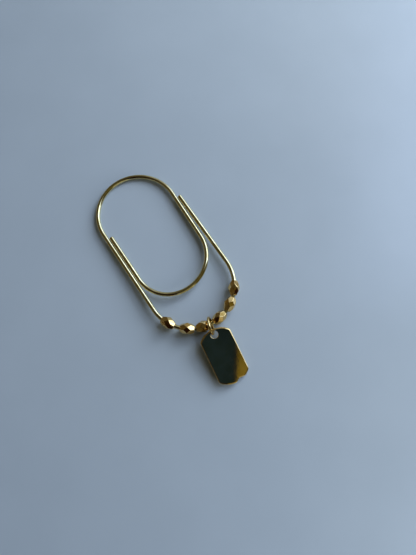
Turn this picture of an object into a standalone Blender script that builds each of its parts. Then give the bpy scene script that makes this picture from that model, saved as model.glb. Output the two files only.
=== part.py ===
# Wide gem clip bent from one round wire, with six faceted beads threaded on its lower bend
# and a small dog-tag charm that hangs from the bend on a jump ring.
# Metres, +Z up. The clip lies on the table (Z = 0) with its length along Y and the beads at -Y.

import math

import bmesh
import bpy
from mathutils import Matrix, Vector

# Clip wire, all lengths along the middle of the wire
WIRE_DIAMETER = 0.0012
TOP_RADIUS = 0.0113
BEND_RADIUS = 0.01185
BEND_DROP = 0.02567
INNER_RADIUS_RIGHT = 0.01085
INNER_RADIUS_LEFT = 0.00945
INNER_DROP = 0.0152
INNER_JOIN_ANGLE = math.radians(-108)
OUTER_TIP_DROP = 0.0022
INNER_TIP_DROP = 0.0019
LEG_GAP = 0.00008
WIRE_SIDES = 16
ARC_STEP = math.radians(5)

# Faceted beads
BEAD_SIDES = 6
BEAD_LENGTH = 0.0039
BEAD_DIAMETER = 0.0033
BEAD_BORE_CLEARANCE = 0.00008
BEAD_END_LIP = 0.00006
LEFT_BEAD_GAP = 0.0001
RIGHT_BEAD_GAP = 0.00036
BEAD_FREE_TRAVEL = 0.0011
BEAD_TURNS = [math.radians(a) for a in (22, 4.5, 30, 0, 12, 27)]
BORE_SEGMENTS = 32

# Jump ring, an open ring of round wire
RING_OUTER_DIAMETER = 0.0050
RING_WIRE_DIAMETER = 0.0007
RING_WIRE_CLEARANCE = 0.00025
RING_BEAD_GAP = 0.00066
RING_SPLIT = 0.00012
RING_SPLIT_ANGLE = math.radians(150)
RING_PLACE = math.radians(-98.05)
RING_RISE = math.radians(54)
RING_YAW = math.radians(-12)
RING_LEAN = math.radians(12.5)
RING_STEPS = 48
RING_SIDES = 12

# Dog tag
TAG_WIDTH = 0.0087
TAG_LENGTH = 0.01505
TAG_THICKNESS = 0.0011
TAG_END_RADIUS = 0.006
TAG_EDGE_ROUNDING = 0.0004
TAG_BRIDGE = 0.00042
TAG_HOLE_PLAY = 0.00135
TAG_HOLE_SLACK = 0.0003
TAG_SIDE_SHIFT = 0.00022
TAG_DIRECTION = math.radians(-98.4)
TAG_ROLL = math.radians(3)
TAG_RING_ANGLE = math.radians(6)
NOTCH_DEPTH = 0.0007
NOTCH_STEEP_WIDTH = 0.001
NOTCH_SHALLOW_WIDTH = 0.0016
NOTCH_OFFSET = 0.001

# Middle of the whole outline on the table, from the top bend to the tag's far end
LAYOUT_MIDDLE_X = 0.0006
LAYOUT_MIDDLE_Y = -0.02089
# Middle of the two beads beside the jump ring
RING_PAIR_PLACE = math.radians(-94.9)


def clearScene():
    for obj in list(bpy.data.objects):
        bpy.data.objects.remove(obj, do_unlink=True)


def newCollection(name):
    collection = bpy.data.collections.new(name)
    bpy.context.scene.collection.children.link(collection)
    return collection


def metalMaterial(name, color, roughness):
    material = bpy.data.materials.new(name)
    material.use_nodes = True
    shader = material.node_tree.nodes["Principled BSDF"]
    shader.inputs["Base Color"].default_value = (*color, 1.0)
    shader.inputs["Roughness"].default_value = roughness
    shader.inputs["Metallic"].default_value = 1.0
    material.diffuse_color = (*color, 1.0)
    return material


def newEmpty(name, collection, parent=None, matrix=None):
    empty = bpy.data.objects.new(name, None)
    empty.empty_display_size = 0.003
    collection.objects.link(empty)
    empty.parent = parent
    if matrix is not None:
        empty.matrix_basis = matrix
    return empty


def addObject(name, data, collection, parent=None, matrix=None, material=None):
    obj = bpy.data.objects.new(name, data)
    collection.objects.link(obj)
    obj.parent = parent
    if matrix is not None:
        obj.matrix_basis = matrix
    if material is not None:
        data.materials.append(material)
    return obj


def wireCurve(name, points, diameter, sides):
    curve = bpy.data.curves.new(name, "CURVE")
    curve.dimensions = "3D"
    curve.bevel_depth = diameter / 2
    curve.bevel_resolution = sides // 2 - 2
    curve.use_fill_caps = True
    spline = curve.splines.new("POLY")
    spline.points.add(len(points) - 1)
    for target, point in zip(spline.points, points):
        target.co = (point[0], point[1], point[2], 1.0)
        target.radius = 1.0
    spline.use_smooth = True
    return curve


def cutterObject(name, data, collection, parent=None, matrix=None):
    cutter = addObject(name, data, collection, parent, matrix)
    cutter.hide_render = True
    cutter.display_type = "WIRE"
    return cutter


def cutFrom(obj, cutter):
    cut = obj.modifiers.new("cut " + cutter.name, "BOOLEAN")
    cut.operation = "DIFFERENCE"
    cut.object = cutter


def arcPoints(center, radius, start, end):
    count = max(2, math.ceil(abs(end - start) / ARC_STEP))
    points = []
    for i in range(count + 1):
        angle = start + (end - start) * i / count
        points.append((center[0] + radius * math.cos(angle), center[1] + radius * math.sin(angle), 0.0))
    return points


def outerTangent(centerA, radiusA, centerB, radiusB, side):
    # Direction from both centres to the points where a straight leg meets the two bends
    offset = Vector(centerB) - Vector(centerA)
    base = math.atan2(offset.y, offset.x)
    return base + side * math.acos((radiusA - radiusB) / offset.length)


def atAngle(center, radius, angle):
    return Vector((center[0] + radius * math.cos(angle), center[1] + radius * math.sin(angle)))


# The clip lies in its own plane with the middle of the top bend at (0, 0)
legPitch = WIRE_DIAMETER + LEG_GAP
topCenter = (0.0, 0.0)


def innerBendCenters(leftAngle):
    # The inner left leg lies one pitch inside the left leg, and the left arc ends on that leg
    leftFoot = atAngle(topCenter, TOP_RADIUS - legPitch, leftAngle)
    normal = Vector((math.cos(leftAngle), math.sin(leftAngle)))
    join = Vector((math.cos(INNER_JOIN_ANGLE), math.sin(INNER_JOIN_ANGLE)))
    shift = INNER_RADIUS_LEFT - INNER_RADIUS_RIGHT
    leftY = -INNER_DROP - shift * join.y
    # A point of the leg's line is leftFoot; the centre is INNER_RADIUS_LEFT from it, on the inside
    leftX = leftFoot.x - (INNER_RADIUS_LEFT + (leftY - leftFoot.y) * normal.y) / normal.x
    left = Vector((leftX, leftY))
    return left, left + join * shift


def clipLayout():
    # The bend's place depends on the outer leg, the outer leg on the inner right leg and that on
    # the left leg, so the layout is worked out from an upright left leg and then once more
    leftAngle = math.pi
    for _ in range(6):
        innerLeft, innerRight = innerBendCenters(leftAngle)
        rightAngle = outerTangent(topCenter, TOP_RADIUS, innerRight, INNER_RADIUS_RIGHT, 1)
        foot = atAngle(topCenter, TOP_RADIUS, rightAngle)
        legX = foot.x - (-OUTER_TIP_DROP - foot.y) * math.tan(rightAngle)
        bendCenter = (legX + legPitch / math.cos(rightAngle) - BEND_RADIUS, -BEND_DROP)
        leftAngle = outerTangent(topCenter, TOP_RADIUS, bendCenter, BEND_RADIUS, -1) % (2 * math.pi)
    return bendCenter, leftAngle, rightAngle, innerLeft, innerRight


def clipPath(bendCenter, leftAngle, rightAngle, innerLeft, innerRight):
    points = [(bendCenter[0] + BEND_RADIUS, -OUTER_TIP_DROP, 0.0)]
    points += arcPoints(bendCenter, BEND_RADIUS, 0.0, leftAngle - 2 * math.pi)
    points += arcPoints(topCenter, TOP_RADIUS, leftAngle, rightAngle)
    points += arcPoints(innerRight, INNER_RADIUS_RIGHT, rightAngle, INNER_JOIN_ANGLE)
    points += arcPoints(innerLeft, INNER_RADIUS_LEFT, INNER_JOIN_ANGLE, leftAngle - 2 * math.pi)[1:]
    endOfBend = Vector(points[-1])
    along = Vector((math.sin(leftAngle), -math.cos(leftAngle), 0.0))
    points.append(endOfBend + along * ((-INNER_TIP_DROP - endOfBend.y) / along.y))
    return points


# Beads: a wire bent to the bend's radius needs this much more room in a straight bore
boreSag = BEAD_LENGTH ** 2 / (8 * BEND_RADIUS)
beadBore = WIRE_DIAMETER + boreSag + 2 * BEAD_BORE_CLEARANCE
beadRadius = BEAD_DIAMETER / 2
beadPathRadius = BEND_RADIUS - boreSag / 2
endApothem = beadBore / 2 + BEAD_END_LIP
endRadius = endApothem / math.cos(math.pi / BEAD_SIDES)


def halfPitch(gap):
    # Angle from a bead's middle to halfway across the gap, where the inner edges of the ends meet
    return math.atan((BEAD_LENGTH + gap) / 2 / (beadPathRadius - endRadius))


def beadAngles():
    leftStep = 2 * halfPitch(LEFT_BEAD_GAP)
    rightStep = 2 * halfPitch(RIGHT_BEAD_GAP)
    third = RING_PAIR_PLACE - halfPitch(RING_BEAD_GAP)
    fourth = RING_PAIR_PLACE + halfPitch(RING_BEAD_GAP)
    second = third - leftStep
    first = second - leftStep - BEAD_FREE_TRAVEL / beadPathRadius
    return [first, second, third, fourth, fourth + rightStep, fourth + 2 * rightStep]


def beadSlope(angle, turn):
    # Slope of the clip with its top bend and this bead's lowest corner both on the table
    sector = 2 * math.pi / BEAD_SIDES
    toCorner = abs((turn + sector / 2) % sector - sector / 2)
    drop = beadRadius * math.cos(toCorner) - WIRE_DIAMETER / 2
    beadY = bendCenter[1] + beadPathRadius * math.sin(angle)
    return math.asin(drop / (TOP_RADIUS - beadY))


def facetedBeadMesh():
    # A hexagonal blank is ground to facets: each slanted plane starts at the middle of one long
    # edge and meets the end at the apothem left round the bore, so the blank's sides keep diamonds
    mesh = bpy.data.meshes.new("faceted bead")
    bm = bmesh.new()
    bmesh.ops.create_cone(bm, cap_ends=True, segments=BEAD_SIDES, radius1=beadRadius,
                          radius2=beadRadius, depth=BEAD_LENGTH)
    slope = Vector((BEAD_LENGTH / 2, 0.0, beadRadius - endApothem)).normalized()
    firstCorner = min(math.atan2(v.co.y, v.co.x) % (2 * math.pi / BEAD_SIDES) for v in bm.verts)
    for end in (1, -1):
        for i in range(BEAD_SIDES):
            turn = Matrix.Rotation(firstCorner + 2 * math.pi * i / BEAD_SIDES, 3, "Z")
            normal = turn @ Vector((slope.x, 0.0, end * slope.z))
            corner = turn @ Vector((beadRadius, 0.0, 0.0))
            cut = bmesh.ops.bisect_plane(bm, geom=bm.verts[:] + bm.edges[:] + bm.faces[:],
                                         dist=1e-7, plane_co=corner, plane_no=normal,
                                         clear_outer=True)
            rim = [e for e in cut["geom_cut"] if isinstance(e, bmesh.types.BMEdge)]
            bmesh.ops.contextual_create(bm, geom=rim)
    bmesh.ops.remove_doubles(bm, verts=bm.verts[:], dist=1e-6)
    bmesh.ops.recalc_face_normals(bm, faces=bm.faces[:])
    bm.to_mesh(mesh)
    bm.free()
    return mesh


def cylinderMesh(name, diameter, length, segments):
    mesh = bpy.data.meshes.new(name)
    bm = bmesh.new()
    bmesh.ops.create_cone(bm, cap_ends=True, segments=segments, radius1=diameter / 2,
                          radius2=diameter / 2, depth=length)
    bm.to_mesh(mesh)
    bm.free()
    return mesh


def tangentFrame(bendCenter, radius, angle):
    # X runs outwards from the bend's middle, Y up and Z along the wire
    outwards = Vector((math.cos(angle), math.sin(angle), 0.0))
    up = Vector((0.0, 0.0, 1.0))
    along = outwards.cross(up)
    frame = Matrix((outwards, up, along)).transposed().to_4x4()
    place = Vector((bendCenter[0], bendCenter[1], 0.0)) + outwards * radius
    return Matrix.Translation(place) @ frame


def tagOutline():
    # Straight sides, ends rounded to one radius, and a small lopsided notch in the lower end.
    # The hole's middle is the origin and the tag hangs along -Y
    half = TAG_WIDTH / 2
    reach = math.asin(half / TAG_END_RADIUS)
    topY = tagHole / 2 + TAG_BRIDGE
    bottomY = topY - TAG_LENGTH
    steps = 14
    points = []
    for i in range(steps + 1):
        angle = math.pi / 2 - reach + 2 * reach * i / steps
        points.append((TAG_END_RADIUS * math.cos(angle),
                       topY - TAG_END_RADIUS + TAG_END_RADIUS * math.sin(angle)))
    steep = NOTCH_OFFSET - NOTCH_STEEP_WIDTH
    shallow = NOTCH_OFFSET + NOTCH_SHALLOW_WIDTH
    lower = []
    for i in range(steps + 1):
        angle = -math.pi / 2 - reach + 2 * reach * i / steps
        x = TAG_END_RADIUS * math.cos(angle)
        if x < steep - 0.0001 or x > shallow + 0.0001:
            lower.append((x, endHeight(bottomY, x)))
    lower += [(steep, endHeight(bottomY, steep)),
              (NOTCH_OFFSET, endHeight(bottomY, NOTCH_OFFSET) + NOTCH_DEPTH),
              (shallow, endHeight(bottomY, shallow))]
    return points + sorted(lower)


def endHeight(bottomY, x):
    return bottomY + TAG_END_RADIUS - math.sqrt(TAG_END_RADIUS ** 2 - x ** 2)


def plateObject(name, outline, thickness, collection, parent, matrix, material):
    curve = bpy.data.curves.new(name + " outline", "CURVE")
    curve.dimensions = "2D"
    curve.fill_mode = "BOTH"
    curve.extrude = thickness / 2
    spline = curve.splines.new("POLY")
    spline.points.add(len(outline) - 1)
    spline.use_cyclic_u = True
    for target, point in zip(spline.points, outline):
        target.co = (point[0], point[1], 0.0, 1.0)
    holder = bpy.data.objects.new(name + " outline", curve)
    collection.objects.link(holder)
    evaluated = holder.evaluated_get(bpy.context.evaluated_depsgraph_get())
    mesh = bpy.data.meshes.new_from_object(evaluated)
    mesh.name = name
    bpy.data.objects.remove(holder)
    bm = bmesh.new()
    bm.from_mesh(mesh)
    bmesh.ops.remove_doubles(bm, verts=bm.verts[:], dist=1e-6)
    bmesh.ops.dissolve_limit(bm, angle_limit=math.radians(1), verts=bm.verts[:], edges=bm.edges[:])
    bmesh.ops.recalc_face_normals(bm, faces=bm.faces[:])
    bm.to_mesh(mesh)
    bm.free()
    return addObject(name, mesh, collection, parent, matrix, material)


def smoothShading(obj, angle):
    obj.data.shade_smooth()
    obj.data.set_sharp_from_angle(angle=angle)


clearScene()
parts = newCollection("paper clip")
cutters = newCollection("cutters")

gold = metalMaterial("polished gold wire", (0.83, 0.66, 0.33), 0.12)
beadGold = metalMaterial("faceted gold bead", (0.80, 0.60, 0.28), 0.10)
ringGold = metalMaterial("gold jump ring", (0.86, 0.70, 0.36), 0.12)
tagGold = metalMaterial("polished gold tag", (0.72, 0.53, 0.20), 0.08)

# The top bend lies on the table and the beads carry the lower bend, so the clip slopes a little
bendCenter, leftAngle, rightAngle, innerLeft, innerRight = clipLayout()
slope = max(beadSlope(angle, turn) for angle, turn in zip(beadAngles(), BEAD_TURNS))
topHeight = WIRE_DIAMETER / 2 + TOP_RADIUS * math.sin(slope)
clipMatrix = (Matrix.Translation((-LAYOUT_MIDDLE_X, -LAYOUT_MIDDLE_Y, topHeight))
              @ Matrix.Rotation(-slope, 4, "X"))
clip = newEmpty("clip plane", parts, matrix=clipMatrix)

# Clip wire: outer right leg, lower bend, left leg, top bend, inner right leg, inner bend, inner left leg
path = clipPath(bendCenter, leftAngle, rightAngle, innerLeft, innerRight)
wire = wireCurve("clip_wire", path, WIRE_DIAMETER, WIRE_SIDES)
addObject("clip_wire", wire, parts, clip, None, gold)

# Beads on the lower bend, each turned about the wire
for number, (angle, turn) in enumerate(zip(beadAngles(), BEAD_TURNS), 1):
    seat = tangentFrame(bendCenter, beadPathRadius, angle)
    # A turn of 0 has one corner of the hexagon facing up
    bead = addObject("bead_%d" % number, facetedBeadMesh(), parts, clip,
                     seat @ Matrix.Rotation(turn, 4, "Z"), beadGold)
    bore = cylinderMesh("bore %d" % number, beadBore, 2 * BEAD_LENGTH, BORE_SEGMENTS)
    cutFrom(bead, cutterObject("bore %d" % number, bore, cutters, clip, seat))

# Jump ring: it hinges on the wire between the third and the fourth bead
ringWireRadius = RING_WIRE_DIAMETER / 2
ringRadius = RING_OUTER_DIAMETER / 2 - ringWireRadius
ringOffset = ringRadius - ringWireRadius - WIRE_DIAMETER / 2 - RING_WIRE_CLEARANCE
ringSeat = newEmpty("ring hinge", parts, clip, tangentFrame(bendCenter, BEND_RADIUS, RING_PLACE))
# In the hinge's frame X points outwards, Y up and Z along the wire; the ring lies in X and Y
ringPlace = (Matrix.Translation((ringOffset * math.cos(RING_RISE), ringOffset * math.sin(RING_RISE), 0.0))
             @ Matrix.Rotation(RING_YAW, 4, "Y") @ Matrix.Rotation(RING_LEAN, 4, "X"))
splitHalf = RING_SPLIT / 2 / ringRadius
ringPoints = []
for i in range(RING_STEPS + 1):
    angle = RING_SPLIT_ANGLE + splitHalf + (2 * math.pi - 2 * splitHalf) * i / RING_STEPS
    ringPoints.append((ringRadius * math.cos(angle), ringRadius * math.sin(angle), 0.0))
ringCurve = wireCurve("jump_ring", ringPoints, RING_WIRE_DIAMETER, RING_SIDES)
addObject("jump_ring", ringCurve, parts, ringSeat, ringPlace, ringGold)

# Tag: it hinges on the ring's wire, and its far end rests on the table
tagHole = RING_WIRE_DIAMETER + TAG_HOLE_PLAY
ringMatrix = clipMatrix @ ringSeat.matrix_basis @ ringPlace
hingePoint = ringMatrix @ Vector((ringRadius * math.cos(-TAG_RING_ANGLE),
                                  ringRadius * math.sin(-TAG_RING_ANGLE), 0.0))
# The ring's wire sits against the upper left of the hole
holeRoom = tagHole / 2 - ringWireRadius - TAG_HOLE_SLACK
holeShift = math.sqrt(holeRoom ** 2 - TAG_SIDE_SHIFT ** 2)
holeMatrix = Matrix.Translation((TAG_SIDE_SHIFT, -holeShift, 0.0))


def tagMatrixAt(pitch):
    turn = Matrix.Rotation(TAG_DIRECTION + math.pi / 2, 4, "Z")
    tilt = Matrix.Rotation(pitch, 4, "X") @ Matrix.Rotation(TAG_ROLL, 4, "Y")
    return Matrix.Translation(hingePoint) @ turn @ tilt


def tagLowest(pitch):
    place = tagMatrixAt(pitch) @ holeMatrix
    return min((place @ Vector((x, y, -TAG_THICKNESS / 2))).z for x, y in tagOutline())


# Halving finds the pitch at which the lower end touches the table
lowPitch = 0.0
highPitch = math.pi / 4
for _ in range(30):
    tagPitch = (lowPitch + highPitch) / 2
    if tagLowest(tagPitch) > 0.0:
        lowPitch = tagPitch
    else:
        highPitch = tagPitch
tagHinge = newEmpty("tag hinge", parts, matrix=tagMatrixAt(tagPitch))
tag = plateObject("tag", tagOutline(), TAG_THICKNESS, parts, tagHinge, holeMatrix, tagGold)
edges = tag.modifiers.new("rounded edges", "BEVEL")
edges.width = TAG_EDGE_ROUNDING
edges.segments = 3
edges.limit_method = "ANGLE"
edges.angle_limit = math.radians(35)
edges.use_clamp_overlap = False
holeMesh = cylinderMesh("tag hole", tagHole, 4 * TAG_THICKNESS, BORE_SEGMENTS)
cutFrom(tag, cutterObject("tag hole", holeMesh, cutters, tagHinge, holeMatrix))
smoothShading(tag, math.radians(35))

print("clip slope %.2f degrees, bead bore %.2f mm, tag pitch %.2f degrees"
      % (math.degrees(slope), beadBore * 1000, math.degrees(tagPitch)))
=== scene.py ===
import math

import bmesh
import bpy
from mathutils import Matrix, Vector


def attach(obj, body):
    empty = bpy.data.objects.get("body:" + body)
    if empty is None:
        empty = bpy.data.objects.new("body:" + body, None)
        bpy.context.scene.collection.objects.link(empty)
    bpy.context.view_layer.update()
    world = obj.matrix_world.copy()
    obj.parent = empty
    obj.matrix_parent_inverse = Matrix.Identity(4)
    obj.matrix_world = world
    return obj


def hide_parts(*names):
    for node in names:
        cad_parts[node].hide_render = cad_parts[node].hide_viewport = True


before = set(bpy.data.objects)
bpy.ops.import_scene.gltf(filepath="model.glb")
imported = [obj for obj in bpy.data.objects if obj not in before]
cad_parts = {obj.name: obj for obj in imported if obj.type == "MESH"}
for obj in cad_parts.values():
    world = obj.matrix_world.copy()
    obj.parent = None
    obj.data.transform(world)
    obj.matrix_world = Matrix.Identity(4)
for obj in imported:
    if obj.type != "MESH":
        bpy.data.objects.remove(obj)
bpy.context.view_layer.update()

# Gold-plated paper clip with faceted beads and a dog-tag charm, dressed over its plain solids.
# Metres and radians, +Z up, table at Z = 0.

millimetre = 0.001
degree = math.radians(1)
origin = Vector((0.0, 0.0, 0.0))
upwards = Vector((0.0, 0.0, 1.0))
mergeDistance = 0.0002 * millimetre


# Small helpers

def hexLinear(code):
    # sRGB hex to linear RGBA
    values = [int(code[i:i + 2], 16) / 255 for i in (0, 2, 4)]
    return tuple(v / 12.92 if v <= 0.04045 else ((v + 0.055) / 1.055) ** 2.4 for v in values) + (1.0,)


def addNode(tree, kind, settings=None, links=None):
    node = tree.nodes.new(kind)
    for key, value in (settings or {}).items():
        if isinstance(key, int) or key in node.inputs:
            node.inputs[key].default_value = value
        else:
            setattr(node, key, value)
    for key, socket in (links or {}).items():
        tree.links.new(socket, node.inputs[key])
    return node


def startPiece():
    if bpy.context.object and bpy.context.object.mode != "OBJECT":
        bpy.ops.object.mode_set(mode="OBJECT")
    bpy.ops.object.select_all(action="DESELECT")


def takePiece(obj):
    startPiece()
    obj.select_set(True)
    bpy.context.view_layer.objects.active = obj


def selectParts(obj, kind, test):
    # In edit mode, selects the verts, edges or faces that pass the test
    mode = {"verts": "VERT", "edges": "EDGE", "faces": "FACE"}[kind]
    mesh = bmesh.from_edit_mesh(obj.data)
    for group in (mesh.verts, mesh.edges, mesh.faces):
        for item in group:
            item.select_set(False)
    mesh.select_mode = {mode}
    bpy.ops.mesh.select_mode(type=mode)
    for item in getattr(mesh, kind):
        if test(item):
            item.select_set(True)
    mesh.select_flush_mode()
    bmesh.update_edit_mesh(obj.data)


def useModifier(obj, kind, settings):
    takePiece(obj)
    modifier = obj.modifiers.new(kind.lower(), kind)
    for key, value in settings.items():
        setattr(modifier, key, value)
    bpy.ops.object.modifier_apply(modifier=modifier.name)


def cutWith(obj, cutter):
    useModifier(obj, "BOOLEAN", {"operation": "DIFFERENCE", "solver": "EXACT", "object": cutter})
    bpy.data.objects.remove(cutter)


def mergeNear(obj):
    takePiece(obj)
    bpy.ops.object.mode_set(mode="EDIT")
    bpy.ops.mesh.select_all(action="SELECT")
    bpy.ops.mesh.remove_doubles(threshold=mergeDistance)
    bpy.ops.object.mode_set(mode="OBJECT")


def tidyNormals(obj):
    mergeNear(obj)
    bpy.ops.object.mode_set(mode="EDIT")
    bpy.ops.mesh.select_all(action="SELECT")
    bpy.ops.mesh.normals_make_consistent(inside=False)
    bpy.ops.object.mode_set(mode="OBJECT")


def bakePlace(obj):
    # Moves the object's place, turn and size into its mesh
    takePiece(obj)
    bpy.ops.object.transform_apply(location=True, rotation=True, scale=True)


def placePiece(obj, matrix):
    obj.matrix_world = matrix
    bakePlace(obj)


def dress(obj, node, material):
    obj.data.materials.clear()
    obj.data.materials.append(material)
    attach(obj, node)
    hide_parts(node)


# Metals

plating = {
    "lineDepth": 0.01 * millimetre,
    # depth of the orange peel, as a share of its width
    "peelDepth": 0.12,
    # noise values between which the tint runs from deep to bright, and the polish from sharp to soft
    "tintSpan": (0.30, 0.62),
    "glossSpan": (0.30, 0.75),
}


def goldPlate(name, look):
    # Bright gold plating over brass: a warm mirror, with faint drawn or polished lines and smudges
    material = bpy.data.materials.new(name)
    material.use_nodes = True
    tree = material.node_tree
    shader = tree.nodes["Principled BSDF"]
    shader.inputs["Metallic"].default_value = 1.0
    coords = addNode(tree, "ShaderNodeTexCoord")
    # Lines along a bent wire follow its UV map; the noise is stretched first and then turned, so the
    # turn gives each finish a pattern of its own and leaves the lines' direction
    source = coords.outputs["UV" if look["along"] else "Object"]
    stretched = addNode(tree, "ShaderNodeMapping", {"Scale": look["lineScale"], "Rotation": look["lineTurn"]},
                        {"Vector": source})
    # Left by the drawing die, the grinding wheel or the polishing mop
    lines = addNode(tree, "ShaderNodeTexNoise", {"Scale": 1.0, "Detail": 3.0, "Roughness": 0.6},
                    {"Vector": stretched.outputs["Vector"]})
    # Smudges one or two millimetres across, where the plating is less bright
    smudge = addNode(tree, "ShaderNodeTexNoise",
                     {"Scale": 1 / look["smudgeSize"], "Detail": 4.0, "Roughness": 0.55},
                     {"Vector": coords.outputs["Object"]})
    # Fine orange peel of the plating bath
    peel = addNode(tree, "ShaderNodeTexNoise", {"Scale": 1 / look["peelSize"], "Detail": 2.0},
                   {"Vector": coords.outputs["Object"]})
    paleness = addNode(tree, "ShaderNodeMapRange",
                       {"From Min": plating["tintSpan"][0], "From Max": plating["tintSpan"][1]},
                       {"Value": smudge.outputs["Fac"]})
    tint = addNode(tree, "ShaderNodeMixRGB",
                   {"Color1": hexLinear(look["deep"]), "Color2": hexLinear(look["bright"])},
                   {"Fac": paleness.outputs["Result"]})
    gloss = addNode(tree, "ShaderNodeMapRange",
                    {"From Min": plating["glossSpan"][0], "From Max": plating["glossSpan"][1],
                     "To Min": look["gloss"][0], "To Max": look["gloss"][1]},
                    {"Value": smudge.outputs["Fac"]})
    lineGloss = addNode(tree, "ShaderNodeMath", {"operation": "MULTIPLY_ADD", 1: look["lineGloss"]},
                        {0: lines.outputs["Fac"], 2: gloss.outputs["Result"]})
    bumpLines = addNode(tree, "ShaderNodeBump",
                        {"Strength": look["lineBump"], "Distance": plating["lineDepth"]},
                        {"Height": lines.outputs["Fac"]})
    bumpPeel = addNode(tree, "ShaderNodeBump",
                       {"Strength": look["peelBump"], "Distance": look["peelSize"] * plating["peelDepth"]},
                       {"Height": peel.outputs["Fac"], "Normal": bumpLines.outputs["Normal"]})
    tree.links.new(tint.outputs["Color"], shader.inputs["Base Color"])
    tree.links.new(lineGloss.outputs["Value"], shader.inputs["Roughness"])
    tree.links.new(bumpPeel.outputs["Normal"], shader.inputs["Normal"])
    return material


# Clip wire: one round wire bent in a flat spiral, in a plane of its own with Y up along the clip
# and the middle of the top bend at its origin

wire = {
    "diameter": 1.2 * millimetre,
    # radii along the middle of the wire, and how far each bend and tip lies below the top bend's middle
    "topRadius": 11.3 * millimetre,
    "bendRadius": 11.85 * millimetre,
    "bendDrop": 25.67 * millimetre,
    "innerRadiusRight": 10.85 * millimetre,
    "innerRadiusLeft": 9.45 * millimetre,
    "innerDrop": 15.2 * millimetre,
    # where the two radii of the inner bend meet
    "innerJoin": -108 * degree,
    "outerTipDrop": 2.2 * millimetre,
    "innerTipDrop": 1.9 * millimetre,
    # between two legs that lie beside each other
    "legGap": 0.08 * millimetre,
    # middle of the whole outline on the table, from the top bend to the tag's far end
    "outlineMiddle": (0.6 * millimetre, -20.89 * millimetre),
    "endRounding": 0.13 * millimetre,
    "endSegments": 3,
    "sides": 40,
    "firstCuts": 20,
    "secondCuts": 24,
    "arcStep": 1.5 * degree,
    "smoothBelow": 40 * degree,
}


def onCircle(middle, radius, angle):
    return middle + Vector((radius * math.cos(angle), radius * math.sin(angle), 0.0))


def tangentAngle(middle, radius, otherMiddle, otherRadius, side):
    # Direction from both middles to the points where a straight leg meets the two bends
    offset = otherMiddle - middle
    return math.atan2(offset.y, offset.x) + side * math.acos((radius - otherRadius) / offset.length)


def layOutBends():
    # The lower bend hangs on the outer right leg, that leg lies beside the inner right one, and the
    # inner left leg beside the left one: an upright left leg is the first guess, and a few rounds settle it
    pitch = wire["diameter"] + wire["legGap"]
    top = origin
    join = onCircle(top, 1.0, wire["innerJoin"])
    shift = wire["innerRadiusLeft"] - wire["innerRadiusRight"]
    left = math.pi
    for _ in range(6):
        foot = onCircle(top, wire["topRadius"] - pitch, left)
        y = -wire["innerDrop"] - shift * join.y
        x = foot.x - (wire["innerRadiusLeft"] + (y - foot.y) * math.sin(left)) / math.cos(left)
        innerLeft = Vector((x, y, 0.0))
        innerRight = innerLeft + join * shift
        right = tangentAngle(top, wire["topRadius"], innerRight, wire["innerRadiusRight"], 1)
        foot = onCircle(top, wire["topRadius"], right)
        legX = foot.x + (wire["outerTipDrop"] + foot.y) * math.tan(right)
        lower = Vector((legX + pitch / math.cos(right) - wire["bendRadius"], -wire["bendDrop"], 0.0))
        left = tangentAngle(top, wire["topRadius"], lower, wire["bendRadius"], -1) % (2 * math.pi)
    return {"top": top, "lower": lower, "innerRight": innerRight, "innerLeft": innerLeft,
            "leftAngle": left, "rightAngle": right}


bends = layOutBends()


def wirePath():
    # Outer right leg, lower bend, left leg, top bend, inner right leg, inner bend, inner left leg
    left, right = bends["leftAngle"], bends["rightAngle"]
    arcs = [(bends["lower"], wire["bendRadius"], 0.0, left - 2 * math.pi),
            (bends["top"], wire["topRadius"], left, right),
            (bends["innerRight"], wire["innerRadiusRight"], right, wire["innerJoin"]),
            (bends["innerLeft"], wire["innerRadiusLeft"], wire["innerJoin"], left - 2 * math.pi)]
    points = [Vector((bends["lower"].x + wire["bendRadius"], -wire["outerTipDrop"], 0.0))]
    for middle, radius, start, end in arcs:
        count = math.ceil(abs(end - start) / wire["arcStep"])
        # Where two arcs meet, their shared point is kept once
        first = 1 if (onCircle(middle, radius, start) - points[-1]).length < 0.01 * millimetre else 0
        points += [onCircle(middle, radius, start + (end - start) * i / count)
                   for i in range(first, count + 1)]
    rise = -wire["innerTipDrop"] - points[-1].y
    points.append(points[-1] + Vector((-math.tan(left) * rise, rise, 0.0)))
    return points


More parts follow.
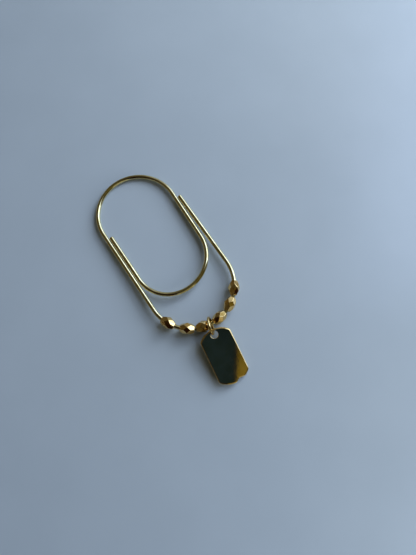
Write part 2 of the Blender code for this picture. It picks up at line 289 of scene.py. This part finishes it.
def makeWire(material):
    points = wirePath()
    length = sum((b - a).length for a, b in zip(points, points[1:]))
    pathData = bpy.data.curves.new("bending path", "CURVE")
    pathData.dimensions = "3D"
    spline = pathData.splines.new("POLY")
    spline.points.add(len(points) - 1)
    for target, point in zip(spline.points, points):
        target.co = (*point, 1.0)
    path = bpy.data.objects.new("bending path", pathData)
    bpy.context.scene.collection.objects.link(path)
    startPiece()
    bpy.ops.mesh.primitive_cylinder_add(vertices=wire["sides"], radius=wire["diameter"] / 2, depth=length,
                                        location=(length / 2, 0.0, 0.0), rotation=(0.0, math.pi / 2, 0.0))
    obj = bpy.context.object
    obj.name = obj.data.name = "goldWire"
    bakePlace(obj)
    bpy.ops.object.mode_set(mode="EDIT")
    # The ends are cut square and their rims tumbled round
    selectParts(obj, "edges", lambda e: abs(e.verts[0].co.x - e.verts[1].co.x) < length / 2)
    bpy.ops.mesh.bevel(offset=wire["endRounding"], segments=wire["endSegments"], affect="EDGES")
    # The straight rod is divided along its length, so that it bends smoothly
    spacing = length
    for cuts in (wire["firstCuts"], wire["secondCuts"]):
        selectParts(obj, "edges", lambda e: abs(e.verts[0].co.x - e.verts[1].co.x) > spacing / 2)
        bpy.ops.mesh.subdivide(number_cuts=cuts)
        spacing /= cuts + 1
    bpy.ops.object.mode_set(mode="OBJECT")
    useModifier(obj, "CURVE", {"object": path, "deform_axis": "POS_X"})
    bpy.data.objects.remove(path)
    placePiece(obj, clipPlane)
    tidyNormals(obj)
    bpy.ops.object.shade_smooth_by_angle(angle=wire["smoothBelow"])
    dress(obj, "clip_wire", material)


# Drawn through a die and plated: a bright mirror with the faintest lines along the wire
wireGold = goldPlate("gold plated drawn wire", {
    "along": True,
    # 90 lines round the wire, 0.04 mm apart
    "lineScale": (90.0, 3.0, 1.0),
    "lineTurn": (0.0, 0.0, 0.0),
    "lineGloss": 0.04,
    "lineBump": 0.20,
    "smudgeSize": 1.6 * millimetre,
    "gloss": (0.04, 0.10),
    "peelSize": 0.22 * millimetre,
    "peelBump": 0.10,
    "deep": "D3C285",
    "bright": "EADDAC",
})


# Beads: hexagonal blanks ground to long facets, threaded on the lower bend

bead = {
    "diameter": 3.3 * millimetre,
    "length": 3.9 * millimetre,
    "sides": 6,
    "boreClearance": 0.08 * millimetre,
    "boreSides": 48,
    # flat metal left round the bore at each end
    "endLip": 0.06 * millimetre,
    "edge": 0.10 * millimetre,
    "edgeSegments": 3,
    "softenAbove": 14 * degree,
    "smoothBelow": 30 * degree,
    # gaps between the beads left of the jump ring, right of it and on both sides of it
    "leftGap": 0.10 * millimetre,
    "rightGap": 0.36 * millimetre,
    "ringGap": 0.66 * millimetre,
    # how far the first bead has slid away from the second
    "freeTravel": 1.1 * millimetre,
    # middle of the two beads beside the ring, round the lower bend
    "pairPlace": -94.9 * degree,
    # each bead's turn about the wire, from the left; at 0 one corner of the hexagon faces up
    "turns": [22 * degree, 4.5 * degree, 30 * degree, 0 * degree, 12 * degree, 27 * degree],
}

# A straight bore needs this much more room on a bent wire
boreSag = bead["length"] ** 2 / (8 * wire["bendRadius"])
beadBore = wire["diameter"] + boreSag + 2 * bead["boreClearance"]
beadPathRadius = wire["bendRadius"] - boreSag / 2
# Half the width across the flats that is left at a bead's end
endApothem = beadBore / 2 + bead["endLip"]


def halfPitch(gap):
    # Angle from a bead's middle to halfway across a gap, where the ends' inner corners face each other
    endRadius = endApothem / math.cos(math.pi / bead["sides"])
    return math.atan((bead["length"] + gap) / 2 / (beadPathRadius - endRadius))


def beadPlaces():
    # Angles round the lower bend, from the left
    leftStep, rightStep = 2 * halfPitch(bead["leftGap"]), 2 * halfPitch(bead["rightGap"])
    third = bead["pairPlace"] - halfPitch(bead["ringGap"])
    fourth = bead["pairPlace"] + halfPitch(bead["ringGap"])
    first = third - 2 * leftStep - bead["freeTravel"] / beadPathRadius
    return [first, third - leftStep, third, fourth, fourth + rightStep, fourth + 2 * rightStep]


def slopeOver(place, turn):
    # Slope of the clip with its top bend and this bead's lowest corner both on the table
    sector = 2 * math.pi / bead["sides"]
    toCorner = abs((turn + sector / 2) % sector - sector / 2)
    drop = bead["diameter"] / 2 * math.cos(toCorner) - wire["diameter"] / 2
    reach = wire["topRadius"] + wire["bendDrop"] - beadPathRadius * math.sin(place)
    return math.asin(drop / reach)


clipSlope = max(slopeOver(place, turn) for place, turn in zip(beadPlaces(), bead["turns"]))
clipHeight = wire["diameter"] / 2 + wire["topRadius"] * math.sin(clipSlope)
clipPlane = (Matrix.Translation((-wire["outlineMiddle"][0], -wire["outlineMiddle"][1], clipHeight))
             @ Matrix.Rotation(-clipSlope, 4, "X"))


def seatOnBend(radius, place):
    # X runs outwards from the lower bend's middle, Y up and Z along the wire
    outwards = onCircle(origin, 1.0, place)
    axes = Matrix((outwards, upwards, outwards.cross(upwards))).transposed().to_4x4()
    return Matrix.Translation(bends["lower"] + outwards * radius) @ axes


def makeBlank():
    radius, halfLength = bead["diameter"] / 2, bead["length"] / 2
    startPiece()
    bpy.ops.mesh.primitive_cylinder_add(vertices=bead["sides"], radius=radius, depth=bead["length"])
    obj = bpy.context.object
    corner = obj.data.vertices[0].co
    firstCorner = math.atan2(corner.y, corner.x)
    # Each slanted plane starts at the middle of one long edge and meets the end at the lip round the
    # bore, so the blank's sides keep diamonds
    slope = Vector((halfLength, 0.0, radius - endApothem)).normalized()
    bpy.ops.object.mode_set(mode="EDIT")
    for end in (1, -1):
        for i in range(bead["sides"]):
            turn = Matrix.Rotation(firstCorner + 2 * math.pi * i / bead["sides"], 3, "Z")
            bpy.ops.mesh.select_all(action="SELECT")
            bpy.ops.mesh.bisect(plane_co=turn @ Vector((radius, 0.0, 0.0)),
                                plane_no=turn @ Vector((slope.x, 0.0, end * slope.z)),
                                use_fill=True, clear_outer=True, threshold=mergeDistance / 2)
    bpy.ops.object.mode_set(mode="OBJECT")
    tidyNormals(obj)
    bpy.ops.object.mode_set(mode="EDIT")
    bpy.ops.mesh.select_all(action="SELECT")
    bpy.ops.mesh.dissolve_limited(angle_limit=1 * degree)
    bpy.ops.object.mode_set(mode="OBJECT")
    startPiece()
    bpy.ops.mesh.primitive_cylinder_add(vertices=bead["boreSides"], radius=beadBore / 2,
                                        depth=bead["length"] * 2)
    cutWith(obj, bpy.context.object)
    # Tumbling softens the facets' edges
    useModifier(obj, "BEVEL", {"width": bead["edge"], "segments": bead["edgeSegments"],
                               "limit_method": "ANGLE", "angle_limit": bead["softenAbove"]})
    tidyNormals(obj)
    bpy.ops.object.shade_smooth_by_angle(angle=bead["smoothBelow"])
    useModifier(obj, "WEIGHTED_NORMAL", {"keep_sharp": True, "weight": 100})
    return obj


def makeBeads(material):
    blank = makeBlank()
    for number, (place, turn) in enumerate(zip(beadPlaces(), bead["turns"]), 1):
        copy = blank.copy()
        copy.data = blank.data.copy()
        copy.name = copy.data.name = "facetBead%d" % number
        bpy.context.scene.collection.objects.link(copy)
        placePiece(copy, clipPlane @ seatOnBend(beadPathRadius, place) @ Matrix.Rotation(turn, 4, "Z"))
        dress(copy, "bead_%d" % number, material)
    bpy.data.objects.remove(blank)


# Ground, tumbled and plated: small flat mirrors, each a little uneven
beadGold = goldPlate("gold plated ground bead", {
    "along": False,
    # traces 0.11 mm wide and 0.4 mm long, coarser than real grinding so that they show
    "lineScale": (2.6 / millimetre, 2.6 / millimetre, 9.0 / millimetre),
    "lineTurn": (0.4, 0.3, 0.0),
    "lineGloss": 0.02,
    "lineBump": 0.10,
    "smudgeSize": 1.1 * millimetre,
    "gloss": (0.02, 0.08),
    "peelSize": 0.6 * millimetre,
    "peelBump": 0.20,
    "deep": "DDB56C",
    "bright": "F2D394",
})


# Jump ring: a turn of round wire with a fine split, hung on the lower bend between two beads

ring = {
    "outer": 5.0 * millimetre,
    "wire": 0.7 * millimetre,
    # between the ring's wire and the clip's
    "clearance": 0.25 * millimetre,
    # place round the lower bend, and how the ring rises, yaws and leans there
    "place": -98.05 * degree,
    "rise": 54 * degree,
    "yaw": -12 * degree,
    "lean": 12.5 * degree,
    "split": 0.12 * millimetre,
    "splitAngle": 150 * degree,
    "endRounding": 0.04 * millimetre,
    "roundAbove": 60 * degree,
    "smoothBelow": 40 * degree,
    "sides": 32,
    "steps": 150,
}
ringRadius = (ring["outer"] - ring["wire"]) / 2


def ringPlace():
    offset = ringRadius - (ring["wire"] + wire["diameter"]) / 2 - ring["clearance"]
    hung = Matrix.Translation(onCircle(origin, offset, ring["rise"]))
    return (clipPlane @ seatOnBend(wire["bendRadius"], ring["place"]) @ hung
            @ Matrix.Rotation(ring["yaw"], 4, "Y") @ Matrix.Rotation(ring["lean"], 4, "X"))


def makeRing(material):
    gap = ring["split"] / ringRadius
    startPiece()
    bpy.ops.mesh.primitive_circle_add(vertices=ring["sides"], radius=ring["wire"] / 2, fill_type="NGON",
                                      location=(ringRadius, 0.0, 0.0), rotation=(math.pi / 2, 0.0, 0.0))
    obj = bpy.context.object
    obj.name = obj.data.name = "jumpRing"
    bakePlace(obj)
    bpy.ops.object.mode_set(mode="EDIT")
    bpy.ops.mesh.select_all(action="SELECT")
    bpy.ops.mesh.spin(steps=ring["steps"], angle=2 * math.pi - gap, center=(0.0, 0.0, 0.0),
                      axis=(0.0, 0.0, 1.0))
    bpy.ops.object.mode_set(mode="OBJECT")
    tidyNormals(obj)
    # The cut ends get a small burr-free edge
    useModifier(obj, "BEVEL", {"width": ring["endRounding"], "segments": 2, "limit_method": "ANGLE",
                               "angle_limit": ring["roundAbove"]})
    bpy.ops.object.shade_smooth_by_angle(angle=ring["smoothBelow"])
    placePiece(obj, ringPlace() @ Matrix.Rotation(ring["splitAngle"] + gap / 2, 4, "Z"))
    dress(obj, "jump_ring", material)


# Fine wire, tumbled and plated: the brightest and palest of the golds
ringGold = goldPlate("gold plated jump ring wire", {
    "along": False,
    # tumbling marks 0.3 mm across, coarser than real ones so that they show
    "lineScale": (3.0 / millimetre, 3.0 / millimetre, 3.0 / millimetre),
    "lineTurn": (0.0, 0.0, 0.0),
    "lineGloss": 0.03,
    "lineBump": 0.10,
    "smudgeSize": 0.9 * millimetre,
    "gloss": (0.03, 0.08),
    "peelSize": 0.3 * millimetre,
    "peelBump": 0.10,
    "deep": "DDB86C",
    "bright": "F4DA9A",
})


# Dog tag: a stamped plate with rounded ends, a hole and a small notch, hung on the jump ring.
# The hole's middle is its origin, and it hangs along -Y

tag = {
    "width": 8.7 * millimetre,
    "length": 15.05 * millimetre,
    "thickness": 1.1 * millimetre,
    "endRadius": 6.0 * millimetre,
    "endSides": 180,
    "hole": 2.05 * millimetre,
    # metal left between the hole and the upper end
    "bridge": 0.42 * millimetre,
    "holeSides": 72,
    # width and depth of the roll-over round the hole, and where it is cut from steep to flat
    "holeRoll": (0.10 * millimetre, 0.06 * millimetre),
    "rollTurns": [12 * degree, 34 * degree, 62 * degree],
    "countersinkReach": 0.3 * millimetre,
    "rounding": 0.40 * millimetre,
    "roundingSegments": 5,
    # share of the rounding that the two sides keep
    "narrowShare": 0.38,
    # where the rounding is still wide and where it is narrow, from the upper and from the lower end
    "narrowing": [(-1.0 * millimetre, -4.0 * millimetre), (-11.0 * millimetre, -8.5 * millimetre)],
    "narrowSteps": 6,
    "sharpAbove": 30 * degree,
    "smoothBelow": 35 * degree,
    # how nearly a face's normal points along Z where the face is flat
    "flatNormal": 0.99999,
    # the notch: its root from the middle line, its depth, and how far its two lips are from the root
    "notchOffset": 1.0 * millimetre,
    "notchDepth": 0.7 * millimetre,
    "notchSteep": 1.0 * millimetre,
    "notchShallow": 1.6 * millimetre,
    "notchBlock": (6.0 * millimetre, 4.0 * millimetre, 4.0 * millimetre),
    # where the ring's wire passes through the hole, and the room between them
    "ringAngle": -6 * degree,
    "holeSlack": 0.3 * millimetre,
    "sideShift": 0.22 * millimetre,
    # how the tag lies: turned about Z, pitched until its lower end meets the table, rolled to a side
    "direction": -8.4 * degree,
    "pitch": 6.967 * degree,
    "roll": 3 * degree,
}
tagTop = tag["hole"] / 2 + tag["bridge"]
tagBottom = tagTop - tag["length"]


def tagPlace():
    # The ring's wire lies against the upper left of the hole
    ringPoint = onCircle(origin, ringRadius, tag["ringAngle"])
    play = (tag["hole"] - ring["wire"]) / 2 - tag["holeSlack"]
    drop = math.sqrt(play ** 2 - tag["sideShift"] ** 2)
    return (Matrix.Translation(ringPlace() @ ringPoint) @ Matrix.Rotation(tag["direction"], 4, "Z")
            @ Matrix.Rotation(tag["pitch"], 4, "X") @ Matrix.Rotation(tag["roll"], 4, "Y")
            @ Matrix.Translation((tag["sideShift"], -drop, 0.0)))


def lowerEnd(x):
    # The point of the rounded lower end that is x from the middle line
    return Vector((x, tagBottom + tag["endRadius"] - math.sqrt(tag["endRadius"] ** 2 - x ** 2), 0.0))


def notchCutter():
    # A block cut back by two planes to the lopsided V, taller than the plate is thick
    root = lowerEnd(tag["notchOffset"]) + Vector((0.0, tag["notchDepth"], 0.0))
    startPiece()
    bpy.ops.mesh.primitive_cube_add(size=1.0, location=(root.x, tagBottom, 0.0))
    obj = bpy.context.object
    obj.scale = tag["notchBlock"]
    bakePlace(obj)
    bpy.ops.object.mode_set(mode="EDIT")
    for side, reach in ((-1, tag["notchSteep"]), (1, tag["notchShallow"])):
        along = (lowerEnd(tag["notchOffset"] + side * reach) - root).normalized()
        outside = Vector((-along.y, along.x, 0.0))
        if outside.x * side < 0:
            outside = -outside
        bpy.ops.mesh.select_all(action="SELECT")
        bpy.ops.mesh.bisect(plane_co=root, plane_no=outside, use_fill=True, clear_outer=True)
    bpy.ops.object.mode_set(mode="OBJECT")
    tidyNormals(obj)
    return obj


def drillHole(obj):
    # A straight drill, then countersinks tangent to the elliptical roll-over that the punch leaves
    radius, reach = tag["hole"] / 2, tag["countersinkReach"]
    wide, deep = tag["holeRoll"]
    startPiece()
    bpy.ops.mesh.primitive_cylinder_add(vertices=tag["holeSides"], radius=radius, depth=tag["thickness"] * 3)
    cutWith(obj, bpy.context.object)
    for side in (1, -1):
        for turn in tag["rollTurns"]:
            height = tag["thickness"] / 2 - deep * (1 - math.sin(turn))
            touch = radius + wide * (1 - math.cos(turn))
            flare = reach * wide * math.sin(turn) / (deep * math.cos(turn))
            startPiece()
            bpy.ops.mesh.primitive_cone_add(vertices=tag["holeSides"], radius1=touch - side * flare,
                                            radius2=touch + side * flare, depth=2 * reach,
                                            location=(0.0, 0.0, side * height))
            cutWith(obj, bpy.context.object)


def isSharp(edge):
    return len(edge.link_faces) == 2 and edge.calc_face_angle() > tag["sharpAbove"]


def isFlat(face):
    return abs(face.normal.z) > tag["flatNormal"]


def weighEdges(obj):
    # The rounding is wide round both ends and narrow along the two sides
    share, steps = tag["narrowShare"], tag["narrowSteps"]
    cuts = []
    for wide, narrow in tag["narrowing"]:
        outwards = 1 if wide > narrow else -1
        cuts += [(outwards, wide + (narrow - wide) * i / (steps - 1)) for i in range(steps)]
    takePiece(obj)
    bpy.ops.object.mode_set(mode="EDIT")
    for _, height in cuts:
        bpy.ops.mesh.select_all(action="SELECT")
        bpy.ops.mesh.bisect(plane_co=(0.0, height, 0.0), plane_no=(0.0, 1.0, 0.0))
    for outwards, height in cuts:
        selectParts(obj, "edges", lambda e: isSharp(e)
                    and outwards * ((e.verts[0].co.y + e.verts[1].co.y) / 2 - height) > 0)
        bpy.ops.transform.edge_bevelweight(value=(1 - share) / steps)
    selectParts(obj, "edges", isSharp)
    bpy.ops.transform.edge_bevelweight(value=share)
    bpy.ops.object.mode_set(mode="OBJECT")


def makeTag(material):
    radius, half = tag["endRadius"], tag["width"] / 2
    topMiddle = tagTop - radius
    startPiece()
    bpy.ops.mesh.primitive_cylinder_add(vertices=tag["endSides"], radius=radius, depth=tag["thickness"],
                                        location=(0.0, topMiddle, 0.0))
    obj = bpy.context.object
    obj.name = obj.data.name = "dogTag"
    bakePlace(obj)
    bpy.ops.object.mode_set(mode="EDIT")
    for side in (1, -1):
        bpy.ops.mesh.select_all(action="SELECT")
        bpy.ops.mesh.bisect(plane_co=(side * half, 0.0, 0.0), plane_no=(side, 0.0, 0.0),
                            use_fill=True, clear_outer=True)
    # The disc between the two cuts is drawn out to the tag's length
    selectParts(obj, "verts", lambda v: v.co.y < topMiddle)
    bpy.ops.transform.translate(value=(0.0, 2 * radius - tag["length"], 0.0))
    bpy.ops.object.mode_set(mode="OBJECT")
    tidyNormals(obj)
    cutWith(obj, notchCutter())
    weighEdges(obj)
    useModifier(obj, "BEVEL", {"width": tag["rounding"], "segments": tag["roundingSegments"],
                               "limit_method": "WEIGHT", "use_clamp_overlap": False})
    drillHole(obj)
    # Takes away the slivers of no width that the countersinks leave
    mergeNear(obj)
    bpy.ops.object.shade_smooth_by_angle(angle=tag["smoothBelow"])
    # The two flat faces mirror the room without a bend: they keep their own normals up to their rims
    bpy.ops.object.mode_set(mode="EDIT")
    selectParts(obj, "faces", isFlat)
    bpy.ops.mesh.dissolve_limited(angle_limit=0.2 * degree)
    selectParts(obj, "edges", lambda e: len([f for f in e.link_faces if isFlat(f)]) == 1)
    bpy.ops.mesh.mark_sharp()
    bpy.ops.object.mode_set(mode="OBJECT")
    placePiece(obj, tagPlace())
    dress(obj, "tag", material)


# Stamped from sheet, mopped and plated: the flattest and clearest mirror of all
tagGold = goldPlate("gold plated stamped plate", {
    "along": False,
    # mopping lines 0.3 mm apart and 2 mm long
    "lineScale": (0.5 / millimetre, 3.5 / millimetre, 0.5 / millimetre),
    "lineTurn": (0.0, 0.0, 0.14),
    "lineGloss": 0.01,
    "lineBump": 0.02,
    "smudgeSize": 2.8 * millimetre,
    "gloss": (0.015, 0.04),
    "peelSize": 0.9 * millimetre,
    "peelBump": 0.015,
    "deep": "DDBE78",
    "bright": "EED092",
})


# Table: pale satin laminate, which gives an even soft tone and a wide faint sheen

table = {
    "size": 1.6,
    # how far the top lies below the clip's lowest point
    "drop": 0.01 * millimetre,
    "roughness": 0.22,
    "colour": "B4BFC6",
    "patch": "B1BCC3",
    # faint uneven tone, patches 22 mm across
    "patchScale": 0.045 / millimetre,
    "patchSpan": (0.35, 0.65),
}


def makeTable():
    startPiece()
    bpy.ops.mesh.primitive_plane_add(size=table["size"], location=(0.0, 0.0, -table["drop"]))
    floor = bpy.context.object
    floor.name = "table top"
    material = bpy.data.materials.new("satin laminate")
    material.use_nodes = True
    tree = material.node_tree
    shader = tree.nodes["Principled BSDF"]
    shader.inputs["Roughness"].default_value = table["roughness"]
    coords = addNode(tree, "ShaderNodeTexCoord")
    patches = addNode(tree, "ShaderNodeTexNoise", {"Scale": table["patchScale"], "Detail": 3.0},
                      {"Vector": coords.outputs["Object"]})
    paleness = addNode(tree, "ShaderNodeMapRange",
                       {"From Min": table["patchSpan"][0], "From Max": table["patchSpan"][1]},
                       {"Value": patches.outputs["Fac"]})
    tone = addNode(tree, "ShaderNodeMixRGB",
                   {"Color1": hexLinear(table["patch"]), "Color2": hexLinear(table["colour"])},
                   {"Fac": paleness.outputs["Result"]})
    tree.links.new(tone.outputs["Color"], shader.inputs["Base Color"])
    floor.data.materials.append(material)


# Camera, at the photo's angle

camera = {
    "place": (-8.922 * millimetre, -26.454 * millimetre, 111.743 * millimetre),
    "look": (0.12466, 0.183209, -0.975138),
    "up": (0.550571, 0.80484, 0.221594),
    # how far the picture's right is turned clockwise from X, in degrees
    "turn": 34.5,
    # lens and sensor width in millimetres
    "lens": 27.05,
    "sensor": 36.0,
    "nearest": 5 * millimetre,
}


def makeCamera():
    data = bpy.data.cameras.new("camera")
    data.lens = camera["lens"]
    data.sensor_width = camera["sensor"]
    data.clip_start = camera["nearest"]
    look = Vector(camera["look"]).normalized()
    right = look.cross(Vector(camera["up"])).normalized()
    up = right.cross(look)
    obj = bpy.data.objects.new("camera", data)
    obj.matrix_world = (Matrix.Translation(camera["place"])
                        @ Matrix((right, up, -look)).transposed().to_4x4())
    bpy.context.scene.collection.objects.link(obj)
    bpy.context.scene.camera = obj


def level(angle):
    # Level direction at an angle, in degrees, turned left from the picture's right
    turn = (angle - camera["turn"]) * degree
    return Vector((math.cos(turn), math.sin(turn), 0.0))


# Light: lamps throw the soft shadow, and the room is what the metal mirrors

lamps = {
    # width of each lamp as a share of its distance
    "spread": 0.4,
    "colour": "EAF3FF",
    # where each stands round the table and how high, in degrees, its distance and its power in watts
    "places": {
        "lower light": (-45, 20, 0.18, 0.049),
        "low light": (-15, 14, 0.22, 0.109),
        "window light": (45, 20, 0.45, 0.92),
        "upper light": (60, 35, 0.22, 0.102),
    },
}

# The tag mirrors this edge of the room as a slanted line, warm beyond it and dark before it
beyondEdge = (level(-3.5), 0.262, 0.281)
beforeEdge = (level(-3.5), 0.281, 0.262)

room = {
    "walls": ("4A4636", 1.0),
    # things standing about make every wall a little uneven: noise scale, noise span and brightness span
    "clutterScale": 12.0,
    "clutterSpan": (0.35, 0.65),
    "clutterLight": (0.75, 1.25),
    # nearer things later: colour, brightness, edges (direction, where the edge starts, where it is full)
    "patches": {
        "back wall": ("5E5846", 1.0, [(level(90), 0.55, 0.95)]),
        "pale wall": ("B4BCC2", 1.0, [(level(90), 0.45, 0.75), (level(0), -0.30, 0.05),
                                      (upwards, 0.0, 0.45)]),
        "left wall": ("5C4F2F", 1.0, [(level(0), -0.60, -0.98)]),
        "warm wall": ("6B6434", 1.0, [beyondEdge, (level(90), 0.20, -0.10)]),
        "dark corner": ("1E110B", 1.0, [(level(0), -0.64, -0.56), (level(-135), 0.86, 0.74), beforeEdge,
                                        (level(90), 0.05, -0.12)]),
        "camera shade": ("182738", 1.0, [(level(0), -0.10, 0.08), beforeEdge, (level(90), 0.02, -0.08),
                                         (level(90), -0.42, -0.28)]),
        "window jamb": ("28190D", 1.0, [(level(0), 0.66, 0.80), (level(90), 0.02, -0.16)]),
        "pale card": ("A5A493", 1.0, [(level(-40), 0.68, 0.80), (level(50), 0.10, -0.02),
                                      (level(50), -0.68, -0.55)]),
        "window wall": ("C8DCFF", 3.75, [(level(90), 0.10, 0.22), (level(0), 0.24, 0.46),
                                         (upwards, -0.02, 0.26)]),
        "window handle": ("B8C1B8", 1.0, [(level(49.6) * 0.80 + upwards * 0.60, 0.9935, 0.9983)]),
    },
}


def addLamp(name, angle, rise, distance, power):
    data = bpy.data.lights.new(name, "AREA")
    data.size = lamps["spread"] * distance
    data.energy = power
    data.color = hexLinear(lamps["colour"])[:3]
    away = level(angle) * math.cos(rise * degree) + upwards * math.sin(rise * degree)
    lamp = bpy.data.objects.new(name, data)
    lamp.location = away * distance
    lamp.rotation_euler = away.to_track_quat("Z", "Y").to_euler()
    # Throws the soft shadow only; the metal mirrors the window wall of the room instead
    lamp.visible_glossy = False
    bpy.context.scene.collection.objects.link(lamp)


def lit(code, strength):
    return tuple(v * strength for v in hexLinear(code)[:3]) + (1.0,)


def patchMask(tree, direction, edges):
    # Each edge of a patch runs softly across one direction of the room
    mask = None
    for axis, start, full in edges:
        across = addNode(tree, "ShaderNodeVectorMath", {"operation": "DOT_PRODUCT", 1: axis}, {0: direction})
        edge = addNode(tree, "ShaderNodeMapRange", {"interpolation_type": "SMOOTHSTEP", "From Min": start,
                                                    "From Max": full}, {"Value": across.outputs["Value"]})
        product = addNode(tree, "ShaderNodeMath", {"operation": "MULTIPLY", 1: 1.0},
                          {0: edge.outputs["Result"]})
        if mask:
            tree.links.new(mask, product.inputs[1])
        mask = product.outputs["Value"]
    return mask


def makeRoom():
    world = bpy.data.worlds.new("room")
    bpy.context.scene.world = world
    world.use_nodes = True
    tree = world.node_tree
    direction = addNode(tree, "ShaderNodeTexCoord").outputs["Generated"]
    shown = addNode(tree, "ShaderNodeRGB")
    shown.outputs["Color"].default_value = lit(*room["walls"])
    for colour, strength, edges in room["patches"].values():
        shown = addNode(tree, "ShaderNodeMixRGB", {"Color2": lit(colour, strength)},
                        {"Fac": patchMask(tree, direction, edges), "Color1": shown.outputs["Color"]})
    clutter = addNode(tree, "ShaderNodeTexNoise", {"Scale": room["clutterScale"], "Detail": 1.0},
                      {"Vector": direction})
    uneven = addNode(tree, "ShaderNodeMapRange",
                     {"From Min": room["clutterSpan"][0], "From Max": room["clutterSpan"][1],
                      "To Min": room["clutterLight"][0], "To Max": room["clutterLight"][1]},
                     {"Value": clutter.outputs["Fac"]})
    shown = addNode(tree, "ShaderNodeMixRGB", {"blend_type": "MULTIPLY", "Fac": 1.0},
                    {"Color1": shown.outputs["Color"], "Color2": uneven.outputs["Result"]})
    tree.links.new(shown.outputs["Color"], tree.nodes["Background"].inputs["Color"])


# Everything is made in order, from the wire to the camera

makeWire(wireGold)
print("wire bent")
makeBeads(beadGold)
print("beads ground and threaded")
makeRing(ringGold)
print("jump ring closed")
makeTag(tagGold)
print("tag stamped")
makeTable()
for name, place in lamps["places"].items():
    addLamp(name, *place)
makeRoom()
makeCamera()
bpy.context.scene.view_settings.view_transform = "Standard"
print("table, light and camera set")
